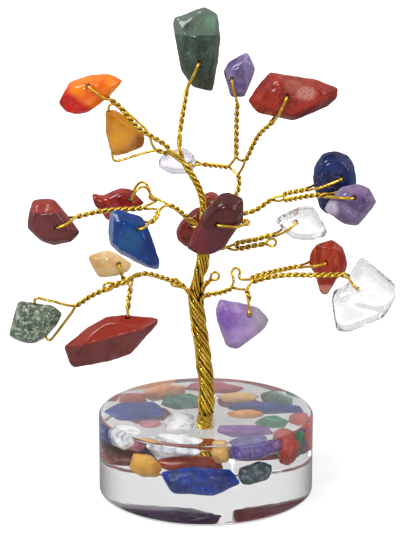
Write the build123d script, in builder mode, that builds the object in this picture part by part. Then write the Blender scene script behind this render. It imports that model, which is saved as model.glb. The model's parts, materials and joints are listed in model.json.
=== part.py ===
from build123d import *
import math
import os
import numpy as np
from scipy.interpolate import CubicSpline
from scipy.spatial import ConvexHull, cKDTree

# Gemstone tree ornament: drilled stone chips on twisted brass wire, rooted in a clear resin puck.
#
# Frame: +Z up, -Y towards the front, millimetres, origin at the centre of the puck's bottom face.

os.makedirs("parts", exist_ok=True)

# ---------------------------------------------------------------- driving dimensions
base_radius = 20.0
base_height = 15.0
base_edge = 0.6            # rounding of the puck's two rims
wire_diameter = 0.5
loop_gap = 0.2             # free space between a chip and its own wire loop
mouth_gap = 0.18           # extra height of the bend over the mouth of a hole
chip_gap = 0.25            # free space between a chip and the twigs around it
wire_gap = 0.04            # least free space between neighbouring strands
hole_radius = 0.45         # drilled hole in every chip
rounding = 0.45            # tumbled edge radius of a chip
root_height = 5.0          # lower ends of the wires, inside the resin
socket_radius = 1.84       # space in the resin that the rope of wires fills
trunk_lay = 14.0           # height of one full turn of the trunk rope
twig_lay = 2.5             # length of one full turn of a two-strand twig
step = 0.2                 # sampling of the wire routes before they are smoothed

wire_radius = wire_diameter / 2
strand_pitch = wire_diameter + wire_gap
pair_radius = strand_pitch / 2
quad_radius = strand_pitch / math.sqrt(2)
tightest = 0.42            # least bend radius along a wire's centre line
eyelet_radius = 0.75       # empty loops at the cut ends
mouth_radius = 0.7         # bend where a wire turns into a drilled hole

# ---------------------------------------------------------------- stone chips
# at: centre of the drilled hole.  outline: front silhouette (x, z) about that centre.
# thick: front-to-back size.  front, back: size of the two flat faces against the outline.
# knot: where the wire pair closes, (x, z) about the hole centre.
chips = {
    "green_aventurine_top": dict(
        at=(-1.3, 2.0, 80.6), thick=4.6, front=0.62, back=0.7, knot=(-2.3, -5.4),
        outline=[(-4.4, 7.9), (1.0, 9.8), (3.3, 8.6), (3.8, 4.0), (3.3, -0.6), (2.4, -5.8),
                 (-1.0, -5.0), (-3.1, -2.0), (-4.7, 6.8)]),
    "amethyst_top": dict(
        at=(4.5, 0.0, 77.9), thick=3.6, front=0.55, back=0.6, knot=(1.1, -4.6),
        outline=[(2.9, 4.7), (4.4, 1.7), (2.3, -3.7), (0.0, -3.7), (-1.5, 1.2), (-0.5, 3.0)]),
    "red_jasper_right": dict(
        at=(14.3, -2.0, 75.3), thick=4.8, front=0.66, back=0.6, knot=(-2.3, -5.0),
        outline=[(-3.0, 3.9), (5.4, 2.5), (9.3, 1.0), (9.1, -0.7), (7.5, -2.2), (1.2, -4.8),
                 (-5.4, -3.3), (-7.1, -1.3), (-4.6, 2.4)]),
    "carnelian_upper_left": dict(
        at=(-20.7, -5.0, 77.6), thick=4.2, front=0.6, back=0.62, knot=(3.6, -2.6),
        outline=[(3.7, 2.0), (6.2, 0.8), (4.1, -1.5), (2.2, -3.1), (-0.3, -5.0), (-2.4, -5.3),
                 (-4.5, -5.0), (-5.7, -3.6), (-3.6, 0.3), (0.3, 1.6)]),
    "yellow_aventurine": dict(
        at=(-17.2, 0.0, 67.9), thick=3.8, front=0.6, back=0.65, axis=(-0.07, 0.0, 1.0), knot=(7.4, -3.0),
        outline=[(-1.0, 4.3), (0.6, 4.4), (1.9, 3.7), (5.8, 0.2), (6.4, -1.0), (6.1, -2.6),
                 (2.7, -4.0), (0.6, -4.4), (-0.1, -3.3), (-0.9, -0.1)]),
    "clear_quartz_back": dict(
        at=(-3.1, 9.0, 60.5), thick=3.8, front=0.6, back=0.6, knot=(2.5, -0.4),
        outline=[(-5.9, 0.4), (-4.3, 1.9), (-0.9, 2.8), (0.9, 1.7), (1.7, -0.4), (0.2, -2.1),
                 (-3.2, -2.3), (-5.7, -1.1)]),
    "red_jasper_left": dict(
        at=(-26.7, -6.0, 52.3), thick=4.6, front=0.64, back=0.6, knot=(3.4, 1.4),
        outline=[(-4.3, 4.6), (-2.2, 5.0), (-0.5, 4.7), (1.6, 2.2), (4.3, -1.6), (2.7, -3.2),
                 (-0.7, -3.9), (-3.1, -3.0), (-5.4, -0.6), (-5.0, 2.7)]),
    "carnelian_back_left": dict(
        at=(-13.8, 4.0, 54.9), thick=3.6, front=0.62, back=0.62,
        outline=[(-4.9, 0.4), (-1.7, 1.9), (0.2, 1.6), (2.7, -1.0), (-4.4, -4.3), (-6.0, -2.0)],
        ear=[(-7.2, 1.0), (-4.6, 0.2), (-4.4, -3.2), (-6.4, -1.4)],
        arms=([(3.5, 0.27, 0.4), (3.2, 1.1, 2.1), (2.1, 2.1, 2.9), (1.0, 2.35, 1.9)],
              [(3.5, -0.27, 0.4), (3.2, -1.1, 2.1), (2.1, -2.1, 2.9), (1.0, -2.35, 1.9)])),
    "lapis_left": dict(
        at=(-11.9, -10.0, 53.1), thick=4.2, front=0.62, back=0.6, knot=(2.0, 0.55),
        outline=[(-5.2, 2.7), (-3.8, 3.2), (0.5, 1.8), (2.1, -1.5), (3.8, -6.9), (3.6, -8.2),
                 (1.4, -7.6), (-3.8, -4.9), (-5.3, -3.2), (-5.5, -0.3)]),
    "citrine_left": dict(
        at=(-16.0, 3.0, 42.9), thick=3.4, front=0.6, back=0.62, knot=(0.6, -3.0),
        outline=[(-6.0, 1.2), (-2.3, 2.4), (-0.5, 1.7), (2.6, -0.3), (1.9, -1.6), (-0.8, -2.6),
                 (-3.8, -2.9), (-5.0, -1.1)]),
    "moss_agate_left": dict(
        at=(-30.1, -5.0, 34.1), thick=4.6, front=0.64, back=0.6, axis=(-0.28, 0.0, 0.96), knot=(6.0, 2.3),
        outline=[(-4.1, 3.8), (-1.2, 3.3), (2.4, 2.9), (4.1, 1.5), (3.1, -0.7), (1.1, -3.0),
                 (-1.1, -4.3), (-3.3, -4.3), (-6.0, -3.0), (-5.0, 0.6)]),
    "red_jasper_hanging": dict(
        at=(-14.1, -9.0, 34.7), thick=5.2, front=0.6, back=0.62, axis=(0.0, -0.75, 0.66),
        hub=(0.0, 0.75, 0.35), knot=(0.0, 2.9),
        outline=[(-3.7, 1.2), (-0.8, 1.6), (5.7, 1.0), (5.5, 0.2), (0.6, -5.6), (-3.3, -7.2),
                 (-10.1, -8.2), (-10.8, -7.4), (-11.6, -4.5), (-7.3, -0.8)]),
    "lapis_right": dict(
        at=(24.5, 0.0, 60.0), thick=4.4, front=0.66, back=0.62, knot=(-5.6, -2.4),
        outline=[(-3.5, 4.1), (-1.1, 4.6), (1.2, 3.8), (2.3, 2.1), (2.9, -1.6), (-2.5, -7.5),
                 (-3.9, -6.1), (-5.1, -1.0), (-5.0, 1.6)]),
    "amethyst_right": dict(
        at=(26.2, -6.0, 57.8), thick=4.4, front=0.6, back=0.6, knot=(-4.6, -0.1),
        outline=[(-2.2, 1.6), (0.8, 2.1), (3.0, 1.4), (4.4, -1.2), (3.3, -2.9), (0.9, -5.8),
                 (-1.5, -5.5), (-5.4, -2.7), (-4.4, -1.0)]),
    "clear_quartz_middle": dict(
        at=(16.0, -6.0, 53.3), thick=4.2, front=0.6, back=0.6, knot=(-3.2, -2.9),
        outline=[(-3.9, 0.1), (0.4, 2.4), (3.1, 2.5), (5.3, -1.0), (5.9, -2.7), (4.6, -3.5),
                 (1.8, -3.8), (-0.7, -3.4), (-2.9, -1.4)]),
    "carnelian_right": dict(
        at=(21.9, 1.0, 43.9), thick=4.0, front=0.62, back=0.6, knot=(-4.0, -1.1),
        outline=[(-1.7, 3.2), (1.3, 4.0), (3.3, 2.6), (4.2, -0.9), (3.7, -2.9), (1.5, -4.1),
                 (-1.6, -3.6), (-3.1, -0.9), (-2.8, 1.7)],
        ear=[(-1.8, -2.8), (2.2, -3.3), (0.3, -6.7), (-0.7, -6.3)]),
    "clear_quartz_right": dict(
        at=(27.4, -4.0, 40.4), thick=5.0, front=0.66, back=0.66, knot=(-1.95, 2.2),
        outline=[(-1.3, 2.5), (0.6, 5.6), (3.1, 3.7), (7.1, 0.2), (7.1, -2.5), (5.5, -5.6),
                 (-1.5, -4.0), (-1.4, 0.4)],
        ear=[(-4.4, -0.9), (-1.4, 0.6), (7.0, -1.6), (5.5, -5.6), (2.0, -7.3), (-1.6, -8.8),
             (-3.6, -8.6), (-4.5, -3.3)]),
    "amethyst_hanging": dict(
        at=(7.7, -8.0, 36.6), thick=4.6, front=0.62, back=0.6, knot=(0.0, 2.2),
        outline=[(-5.5, 2.6), (-0.6, 1.5), (1.9, 0.9), (3.9, -1.4), (3.3, -2.7), (1.7, -4.2),
                 (-2.2, -7.2), (-4.1, -6.7), (-5.8, -1.7), (-6.2, 0.6)]),
    "red_jasper_front": dict(
        at=(1.9, -7.0, 53.1), thick=4.4, front=0.64, back=0.6, knot=(5.4, -0.4),
        outline=[(0.8, 5.3), (2.2, 5.6), (4.8, 4.5), (4.9, 0.7), (3.6, -0.9), (1.1, -5.1),
                 (-1.1, -6.2), (-3.6, -6.2), (-5.5, -5.1), (-3.6, -1.4), (-2.7, 1.1), (-1.4, 2.9)]),
    "carnelian_back_centre": dict(
        at=(-2.6, 4.9, 49.7), thick=3.4, front=0.62, back=0.6, knot=(4.2, -0.1),
        outline=[(-3.1, -1.5), (-2.0, 0.5), (-0.6, 2.1), (1.1, 3.4), (2.8, 3.4), (3.6, 1.5),
                 (2.8, -1.9), (0.6, -4.0), (-1.1, -4.6), (-2.8, -3.1)]),
    "pink_jasper_back": dict(
        at=(0.9, 8.4, 53.4), thick=2.8, front=0.62, back=0.6, knot=(2.8, -0.7),
        outline=[(-2.3, -0.8), (-1.5, 1.2), (0.2, 1.8), (1.5, 1.4), (2.1, -0.6), (0.7, -2.0),
                 (-1.3, -2.2)]),
}

# ---------------------------------------------------------------- wire routes
trunk_line = [(0.0, -1.0, 4.0), (0.0, -1.0, 14.5), (0.0, -1.0, 22.0), (-0.5, -1.0, 26.0),
              (-1.0, -0.5, 30.0), (-1.6, -0.1, 34.0), (-1.9, 0.0, 37.5), (-1.3, 0.0, 41.0),
              (-0.6, 0.0, 44.5), (-0.5, 0.0, 48.5), (-0.5, 0.0, 53.0)]
left_stem = [(-0.5, 0.0, 54.0), (-0.7, 0.0, 56.0), (-1.4, 0.0, 58.0), (-2.5, 0.0, 60.0),
             (-3.6, 0.0, 61.8)]
# leave: height at which the wire leaves the trunk.  slots: two (ring, angle) places in the trunk rope.
# shared: a stem that carries two wires as four strands, with the wire's place in it.
# branch: the wire's own two-strand rope.  twigs: (chip or None, route) in the order of winding.
outer, middle, inner = 1.40, 0.88, 0.385
wires = {
    "wire_lower_left": dict(
        leave=37.0, slots=[(outer, 90), (outer, 126)],
        branch=[(-3.9, -1.4, 39.6), (-6.3, -3.2, 41.2), (-8.7, -5.0, 42.5), (-11.0, -6.2, 43.4),
                (-12.3, -6.8, 43.4)],
        twigs=[("moss_agate_left", [(-14.0, -7.0, 42.2), (-17.0, -7.0, 41.0), (-20.5, -6.3, 39.3),
                                    (-22.5, -5.5, 37.8)]),
               (None, [(-13.8, -8.4, 42.7), (-16.6, -8.7, 41.9)]),
               ("red_jasper_hanging", [(-13.4, -8.2, 41.5), (-13.9, -8.9, 39.4)]),
               ("citrine_left", [(-13.3, -5.3, 42.0), (-14.3, -2.2, 41.0), (-15.0, 0.6, 39.9)])]),
    "wire_lower_right": dict(
        leave=36.5, slots=[(outer, 162), (outer, 198)],
        branch=[(0.2, -1.6, 38.3), (1.6, -2.8, 38.5), (3.4, -4.2, 39.4), (5.0, -5.4, 40.4)],
        twigs=[("amethyst_hanging", [(6.9, -6.8, 40.7), (7.6, -7.9, 40.0)]),
               ("clear_quartz_right", [(8.0, -6.4, 41.6), (10.5, -6.8, 42.6), (14.0, -6.5, 43.1),
                                       (18.0, -6.0, 43.0), (22.0, -5.0, 42.7)]),
               ("carnelian_right", [(7.6, -5.0, 41.9), (10.0, -4.2, 42.6), (13.0, -2.2, 42.8),
                                    (15.6, -0.2, 42.8)]),
               (None, [(5.4, -5.4, 41.6), (5.4, -5.2, 42.2)])]),
    "wire_middle_left": dict(
        leave=49.8, slots=[(middle, 8), (middle, 53)],
        branch=[(-2.6, -1.4, 51.9), (-4.4, -3.0, 53.8), (-6.0, -4.0, 55.3), (-7.6, -4.8, 55.9)],
        twigs=[("lapis_left", [(-8.4, -6.4, 55.2), (-8.9, -8.2, 54.3)]),
               ("red_jasper_left", [(-10.3, -5.2, 55.4), (-13.6, -5.6, 55.1), (-17.0, -6.0, 55.0),
                                    (-20.5, -6.0, 54.5)]),
               ("carnelian_back_left", [(-9.0, -3.2, 56.3), (-9.5, -0.8, 55.9), (-10.0, 1.8, 55.5)])]),
    "wire_middle_right": dict(
        leave=46.0, slots=[(outer, 18), (outer, 54)],
        branch=[(1.2, -1.7, 47.0), (3.4, -3.0, 47.3)],
        twigs=[("clear_quartz_middle", [(5.4, -4.6, 48.6), (8.0, -5.6, 49.3), (10.6, -6.0, 50.0)]),
               (None, [(5.2, -4.2, 47.2), (8.0, -5.3, 48.1), (10.8, -5.8, 48.8)])]),
    "wire_upper_right": dict(
        leave=48.6, slots=[(middle, 188), (middle, 233)],
        branch=[(0.9, 1.0, 50.0), (2.6, 1.8, 50.8), (4.9, 2.2, 52.0), (7.5, 2.2, 52.5),
                (9.6, 2.0, 53.3), (11.2, 1.4, 54.8), (12.4, 0.8, 55.6)],
        twigs=[("lapis_right", [(14.2, 0.8, 56.5), (15.6, 0.6, 56.8), (17.2, 0.3, 57.1)]),
               ("amethyst_right", [(13.8, -1.2, 55.5), (16.0, -3.2, 56.5), (18.2, -4.8, 57.3),
                                   (20.2, -5.8, 57.7)])]),
    "wire_centre": dict(
        leave=47.0, slots=[(middle, 98), (middle, 143)],
        branch=[(1.3, -0.1, 48.3), (2.0, 0.0, 48.8)],
        twigs=[("red_jasper_front", [(3.3, -0.8, 49.8), (5.6, -1.6, 51.4), (7.2, -3.4, 52.4),
                                     (7.5, -5.2, 52.6)]),
               ("pink_jasper_back", [(2.9, 1.9, 49.0), (3.7, 4.0, 50.0), (4.3, 6.0, 51.2),
                                     (4.1, 7.4, 52.3)]),
               ("carnelian_back_centre", [(1.8, 2.0, 48.6), (1.9, 3.4, 49.2)])]),
    "wire_top": dict(
        leave=52.0, slots=[(inner, 0), (inner, 90)], shared=(left_stem, 0),
        branch=[(-4.7, 0.6, 63.6), (-4.9, 0.9, 65.4)],
        twigs=[("green_aventurine_top", [(-4.8, 1.2, 67.2), (-4.5, 1.6, 69.4), (-4.1, 2.0, 71.6),
                                         (-3.8, 2.0, 73.4)])]),
    "wire_upper_left": dict(
        leave=52.0, slots=[(inner, 180), (inner, 270)], shared=(left_stem, 1),
        branch=[(-4.6, -0.6, 63.2), (-5.6, -0.6, 63.6)],
        twigs=[("yellow_aventurine", [(-6.6, -0.3, 63.9), (-8.0, 0.0, 64.4)]),
               ("carnelian_upper_left", [(-6.2, -1.0, 64.9), (-7.8, -1.3, 66.3), (-9.6, -1.8, 67.5),
                                         (-12.0, -2.9, 69.2), (-14.6, -4.2, 72.6)])]),
    "wire_upper_middle": dict(
        leave=50.6, slots=[(middle, 278), (middle, 323)],
        branch=[(0.9, 1.2, 52.4), (2.6, 2.2, 53.4), (4.8, 2.8, 54.6), (5.9, 2.9, 56.6),
                (5.9, 2.9, 59.4)],
        twigs=[("clear_quartz_back", [(4.4, 3.7, 60.6), (2.6, 5.6, 60.5), (0.8, 7.6, 60.2)]),
               ("amethyst_top", [(5.5, 2.4, 62.6), (5.5, 1.6, 66.0), (5.5, 0.7, 69.4),
                                 (5.55, 0.1, 72.0)]),
               ("red_jasper_right", [(6.8, 2.9, 61.4), (8.0, 2.2, 64.0), (9.0, 1.0, 66.4),
                                     (10.2, -0.5, 68.4), (11.4, -1.7, 69.7)])]),
    "wire_fork_right": dict(
        leave=38.0, slots=[(outer, 234), (outer, 270)], branch=[(-0.3, -1.0, 39.4), (0.3, -0.9, 39.9)],
        twigs=[(None, [(0.5, -0.8, 40.2), (0.9, -0.8, 40.6)])]),
    "wire_fork_left": dict(
        leave=36.6, slots=[(outer, 306), (outer, 342)], branch=[(-3.5, 1.1, 38.0), (-4.0, 1.5, 38.6)],
        twigs=[(None, [(-4.2, 1.6, 38.8), (-4.8, 1.8, 39.0)])]),
}


# ---------------------------------------------------------------- laying the wires
def unit(v):
    return v / np.linalg.norm(v)


def resample(points, spacing=step):
    """Even samples along a smooth curve through a few points."""
    p = np.array(points, float)
    if len(p) == 1:
        return p
    s = np.r_[0, np.cumsum(np.linalg.norm(np.diff(p, axis=0), axis=1))]
    curve = CubicSpline(s, p) if len(p) > 2 else (lambda t: p[0] + np.outer(t / s[-1], p[1] - p[0]))
    fine = curve(np.linspace(0, s[-1], max(8, int(s[-1] / 0.05))))
    s = np.r_[0, np.cumsum(np.linalg.norm(np.diff(fine, axis=0), axis=1))]
    t = np.linspace(0, s[-1], max(2, round(s[-1] / spacing) + 1))
    return np.column_stack([np.interp(t, s, fine[:, k]) for k in range(3)])


def polyline(points, spacing=step):
    """Even samples along straight runs."""
    p = np.array(points, float)
    s = np.r_[0, np.cumsum(np.linalg.norm(np.diff(p, axis=0), axis=1))]
    t = np.linspace(0, s[-1], max(2, round(s[-1] / spacing) + 1))
    return np.column_stack([np.interp(t, s, p[:, k]) for k in range(3)])


def frames(line, side):
    """Two normals carried along a line without twisting, the first close to side."""
    tangent = np.gradient(line, axis=0)
    tangent /= np.linalg.norm(tangent, axis=1)[:, None]
    normal = np.zeros_like(line)
    n = np.array(side, float)
    for i, t in enumerate(tangent):
        n = unit(n - t * n.dot(t))
        normal[i] = n
    return normal, np.cross(tangent, normal)


def strand(line, side, radius, turns, start=0.0):
    """A left-hand helix around a line."""
    a, b = frames(line, side)
    angle = start - 2 * math.pi * turns * np.linspace(0, 1, len(line))
    return line + radius * (a * np.cos(angle)[:, None] + b * np.sin(angle)[:, None])


trunk_axis = resample(trunk_line)


def trunk_strand(radius, degrees, top):
    """One strand of the trunk rope, from the root up to a height."""
    line = trunk_axis[(trunk_axis[:, 2] >= root_height) & (trunk_axis[:, 2] <= top)]
    angle = math.radians(degrees) - 2 * math.pi * line[:, 2] / trunk_lay
    return line + radius * np.column_stack([np.cos(angle), np.sin(angle), 0 * angle])


def hole_axis(chip):
    return unit(np.array(chip.get("axis", (0.0, 1.0, 0.0)), float))


def hole_centre(chip):
    return np.array(chip["at"], float) + np.array(chip.get("hub", (0.0, 0.0, 0.0)))


def hull_points(outline, chip):
    """Corner points of a chip before its edges are rounded: girdle, front face and back face."""
    p = np.array(outline, float)
    middle_point = p.mean(0)
    size = np.abs(p - middle_point).max()
    inset = 1 - rounding / size
    depth = chip["thick"] / 2 - rounding
    points = []
    for scale, y in ((inset, 0.0), (chip["front"], -depth), (chip["back"], depth)):
        for q in middle_point + (p - middle_point) * scale:
            points.append((float(q[0]), y, float(q[1])))
    return points


def chip_planes(margin):
    """For every chip: its centre, its reach and the planes its wires must stay outside of."""
    found = []
    for chip in chips.values():
        outlines = [(chip["outline"], chip)]
        if "ear" in chip:
            outlines.append((chip["ear"], dict(chip, thick=chip["thick"] * 0.8)))
        for outline, sizes in outlines:
            points = np.array(hull_points(outline, sizes)) + chip["at"]
            planes = ConvexHull(points).equations
            centre = points.mean(0)
            found.append((centre, np.linalg.norm(points - centre, axis=1).max() + 1.5, planes))
    return [(c, r, planes[:, :3], planes[:, 3] - rounding - wire_radius - margin)
            for c, r, planes in found]


loop_planes = chip_planes(loop_gap)


def stretched(points):
    """The convex chain over a row of points (u, v), as a wire pulled tight lies over them."""
    chain = []
    for p in points:
        while len(chain) > 1:
            e, f = chain[-1] - chain[-2], p - chain[-2]
            if e[0] * f[1] - e[1] * f[0] > 0:
                break
            chain.pop()
        chain.append(p)
    return chain


def reach_outwards(hub, direction):
    """How far from a hole centre the wire clears its chip in one direction."""
    far = 0.0
    for centre, size, normals, offsets in loop_planes:
        if np.linalg.norm(hub - centre) > size:
            continue
        start, rate = normals @ hub + offsets, normals @ direction
        if start.max() < 0:
            far = max(far, (-start[rate > 1e-6] / rate[rate > 1e-6]).min())
    return far


def arm(chip, side):
    """One leg of the wire loop, from the knot to the middle of the drilled hole."""
    at, hub, axis = np.array(chip["at"], float), hole_centre(chip), side * hole_axis(chip)
    if "arms" in chip:
        route = [at + np.array(p) for p in chip["arms"][0 if side > 0 else 1]]
        across = unit((route[-1] - hub) - axis * (route[-1] - hub).dot(axis))
        level = (route[-1] - hub).dot(axis) - mouth_radius
        leg = resample(route)
    else:
        knot = at + (chip["knot"][0], 0, chip["knot"][1]) - hub
        across = unit(knot - axis * knot.dot(axis))
        u, v = knot.dot(across), knot.dot(axis)
        low = math.atan2(v, u)
        turns = np.arange(low + 0.12, math.pi / 2, 0.06)
        over = []
        for a in turns:
            d = across * math.cos(a) + axis * math.sin(a)
            over.append(reach_outwards(hub, d) * np.array([math.cos(a), math.sin(a)]))
        level = max(q[1] for q in over if q[0] < 0.9) - mouth_radius + mouth_gap
        over = [q for q in over if q[0] > mouth_radius]
        last = np.array([mouth_radius, level + mouth_radius])
        chain = stretched([np.array([u, v + pair_radius])] + over + [last])
        leg = polyline([hub + across * q[0] + axis * q[1] for q in chain])
        for _ in range(8):
            leg[1:-1] += (leg[:-2] + leg[2:] - 2 * leg[1:-1]) * 0.25
    centre = hub + axis * level + across * mouth_radius
    bend = [centre + mouth_radius * (axis * math.sin(a) - across * math.cos(a))
            for a in np.radians([70, 50, 30, 10])]
    path = polyline(np.vstack([leg, bend, [hub + axis * level, hub]]))
    outside = (path - hub).dot(axis) > level - 0.25
    for _ in range(5):
        move = (path[:-2] + path[2:] - 2 * path[1:-1]) * 0.25
        path[1:-1][outside[1:-1]] += move[outside[1:-1]]
    return path


def loop(chip):
    """The whole loop through a chip, out along one side and back along the other."""
    there, back = arm(chip, 1), arm(chip, -1)
    return np.vstack([there, back[::-1][1:]])


def eyelet(end, heading, near):
    """A small empty loop at the end of a twig without a chip, starting close to a strand's end."""
    n = unit(np.cross(heading, (0.0, 1.0, 0.2)))
    if n.dot(near - end) < 0:
        n = -n
    turn = np.radians(np.arange(22, 340, 14))
    return np.array([end + eyelet_radius * (heading * (1 - math.cos(a)) + n * math.sin(a)) for a in turn])


def pair(line, first, last=None):
    """Two strands around a line; first and last are the offsets they should start and end near."""
    length = np.linalg.norm(np.diff(line, axis=0), axis=1).sum()
    turns = max(length / twig_lay, 0.25)
    if last is not None:
        a, b = frames(line, first)
        end = math.atan2(b[-1].dot(last), a[-1].dot(last)) / (2 * math.pi)
        turns = min((k / 2 - end for k in range(60) if k / 2 - end > 0.2), key=lambda t: abs(t - turns))
    return [strand(line, first, pair_radius, turns, s) for s in (0.0, math.pi)]


def lay(spec):
    """The rough route of one wire, root to root, and which of its samples are fixed."""
    pieces_out, pieces_back = [], []
    (r1, a1), (r2, a2) = spec["slots"]
    up, down = trunk_strand(r1, a1, spec["leave"]), trunk_strand(r2, a2, spec["leave"])
    pieces_out.append(up)
    pieces_back.append(down)
    if "shared" in spec:
        line, place = spec["shared"]
        line = resample(line)
        turns = np.linalg.norm(np.diff(line, axis=0), axis=1).sum() / 5.0
        side = (1, 0, 0)
        pieces_out.append(strand(line, side, quad_radius, turns, math.pi * place))
        pieces_back.append(strand(line, side, quad_radius, turns, math.pi * place + math.pi / 2))
    if len(spec["branch"]) > 1:
        branch = resample(spec["branch"])
        a, b = pair(branch, pieces_out[-1][-1] - pieces_back[-1][-1])
        pieces_out.append(a)
        pieces_back.append(b)
    route = [(p, None) for p in pieces_out]
    for name, points in spec["twigs"]:
        here = route[-1][0][-1]
        if name is None:
            line = resample(points)
            a, b = pair(line, here - line[0])
            heading = unit(line[-1] - line[-2])
            route += [(a, None), (eyelet(line[-1] + heading * 0.3, heading, a[-1]), "end"), (b[::-1], None)]
            continue
        ring = loop(chips[name])
        knot = (ring[0] + ring[-1]) / 2
        line = resample(points + [tuple(knot)])
        a, b = pair(line, here - line[0], ring[0] - knot)
        if np.linalg.norm(a[-1] - ring[0]) > np.linalg.norm(b[-1] - ring[0]):
            ring = ring[::-1]
        route += [(a[:-1], None), (ring, name), (b[::-1][1:], None)]
    route += [(p[::-1], None) for p in pieces_back[::-1]]
    joined, fixed = [route[0][0]], [np.zeros(len(route[0][0]), bool)]
    for piece, held in route[1:]:
        a, b = joined[-1][-1], piece[0]
        n = int(np.linalg.norm(b - a) / step)
        if n > 0:
            joined.append(a + np.outer(np.arange(1, n + 1) / (n + 1), b - a))
            fixed.append(np.zeros(n, bool))
        joined.append(piece)
        mask = np.zeros(len(piece), bool)
        if held == "end":
            mask[3:-3] = True
        elif held:
            axis, off = hole_axis(chips[held]), piece - hole_centre(chips[held])
            mask = np.linalg.norm(off - np.outer(off @ axis, axis), axis=1) < 0.9
        fixed.append(mask)
    path, mask = np.vstack(joined), np.concatenate(fixed)
    mask[:2] = mask[-2:] = True
    return path, mask


def relax(paths, masks, rounds=260):
    """Push the strands apart, pull the trunk rope together and smooth every wire."""
    count = [len(p) for p in paths]
    start = np.cumsum([0] + count)
    x = np.vstack(paths)
    fixed = np.concatenate(masks)
    wire = np.repeat(np.arange(len(paths)), count)
    index = np.arange(len(x))
    ends = np.zeros(len(x), bool)
    for s in start[:-1]:
        ends[s] = True
    for s in start[1:]:
        ends[s - 1] = True
    rng = np.random.default_rng(4)
    x[~fixed] += rng.normal(0, 0.01, (int((~fixed).sum()), 3))
    inside = ~ends
    free = ~fixed & inside
    obstacles = chip_planes(chip_gap)
    prev, nxt = np.maximum(index - 1, 0), np.minimum(index + 1, len(x) - 1)
    for r in range(rounds):
        late = r > rounds - 70
        tangent = x[nxt] - x[prev]
        tangent /= np.linalg.norm(tangent, axis=1)[:, None] + 1e-12
        pairs = cKDTree(x).query_pairs(strand_pitch, output_type="ndarray")
        i, j = pairs[:, 0], pairs[:, 1]
        far = (wire[i] != wire[j]) | (np.abs(i - j) > 6)
        i, j = i[far], j[far]
        gap = x[j] - x[i]
        dist = np.linalg.norm(gap, axis=1) + 1e-9
        push = gap / dist[:, None] * ((strand_pitch - dist) * 0.5)[:, None]
        move = np.zeros_like(x)
        hits = np.zeros(len(x))
        np.add.at(move, i, -push)
        np.add.at(move, j, push)
        np.add.at(hits, i, 1)
        np.add.at(hits, j, 1)
        move /= np.maximum(hits, 1)[:, None] ** 0.5
        move -= tangent * (move * tangent).sum(1)[:, None]
        if not late:
            low = x[:, 2] < 53
            near = np.abs(x[:, 2][:, None] - trunk_axis[None, ::10, 2]).argmin(1) * 10
            inwards = trunk_axis[near] - x
            inwards[:, 2] = 0
            span = np.linalg.norm(inwards, axis=1)
            pull = low & (span < 2.0) & (span > 0.1)
            move[pull] += inwards[pull] / span[pull, None] * 0.006
        x[free] += move[free] * (1.0 if late else 0.8)
        if r % 3 == 0:
            for centre, size, normals, offsets in obstacles:
                near = np.flatnonzero(free & (np.linalg.norm(x - centre, axis=1) < size))
                if len(near):
                    depth = x[near] @ normals.T + offsets
                    face = depth.argmax(1)
                    deep = depth[np.arange(len(near)), face]
                    hit = deep < 0
                    x[near[hit]] -= normals[face[hit]] * (deep[hit] * 0.5)[:, None]
        bend = (x[prev] + x[nxt]) / 2 - x
        span = np.linalg.norm(x[nxt] - x[prev], axis=1) / 2
        tight = np.linalg.norm(bend, axis=1) > span ** 2 / (2 * tightest)
        ease = np.where(tight, 0.5, (0.10 if late else 0.25) * (r % 2 == 0))
        x[free] += bend[free] * ease[free, None]
    return [x[start[k]:start[k + 1]] for k in range(len(paths))]


def spaced(path, longest=1.3, turn=24.0):
    """Fewer samples where the wire runs straight."""
    t = np.gradient(path, axis=0)
    t /= np.linalg.norm(t, axis=1)[:, None]
    keep = [0]
    for i in range(1, len(path)):
        far = np.linalg.norm(path[i] - path[keep[-1]]) > longest
        angle = math.degrees(math.acos(max(-1.0, min(1.0, t[i].dot(t[keep[-1]])))))
        if far or angle > turn:
            keep.append(i)
    if keep[-1] != len(path) - 1:
        keep[-1] = len(path) - 1
    return path[keep], t[keep]


def arc(start, heading, end):
    """An arc with a given heading at its start, or a line where it would be straight."""
    if (end - start).normalized().cross(heading).length < 1e-4:
        return Edge.make_line(start, end)
    return Edge.make_tangent_arc(start, heading, end)


def biarc(p0, t0, p1, t1):
    """Two tangent arcs between two points with given headings."""
    v = p1 - p0
    t = t0 + t1
    turn = 2 * (1 - t0.dot(t1))
    if turn < 1e-9:
        d = v.dot(v) / (4 * v.dot(t1))
    else:
        d = (-v.dot(t) + math.sqrt(v.dot(t) ** 2 + turn * v.dot(v))) / turn
    a, b = p0 + t0 * d, p1 - t1 * d
    m = (a + b) * 0.5
    return [arc(p0, t0, m), arc(m, (b - a).normalized(), p1)]


def wire_edges(path):
    points, headings = spaced(path)
    p = [Vector(*map(float, q)) for q in points]
    t = [Vector(*map(float, q)).normalized() for q in headings]
    return [e for k in range(len(p) - 1) for e in biarc(p[k], t[k], p[k + 1], t[k + 1])]


# ---------------------------------------------------------------- building the chips
def lump(points):
    with BuildPart() as rough:
        ConvexPolyhedron(points)
        offset(amount=rounding, kind=Kind.ARC)
    return rough.part


def make_chip(name, chip):
    lumps = [lump(hull_points(chip["outline"], chip))]
    if "ear" in chip:
        lumps.append(lump(hull_points(chip["ear"], dict(chip, thick=chip["thick"] * 0.8))))
    axis = hole_axis(chip)
    hub = chip.get("hub", (0.0, 0.0, 0.0))
    with BuildPart() as stone:
        for piece in lumps:
            add(piece)
        with Locations(Plane(origin=hub, z_dir=tuple(axis)).location):
            Cylinder(hole_radius, 30, mode=Mode.SUBTRACT)
    part = stone.part.moved(Location(chip["at"]))
    part.label = name
    return part


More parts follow.
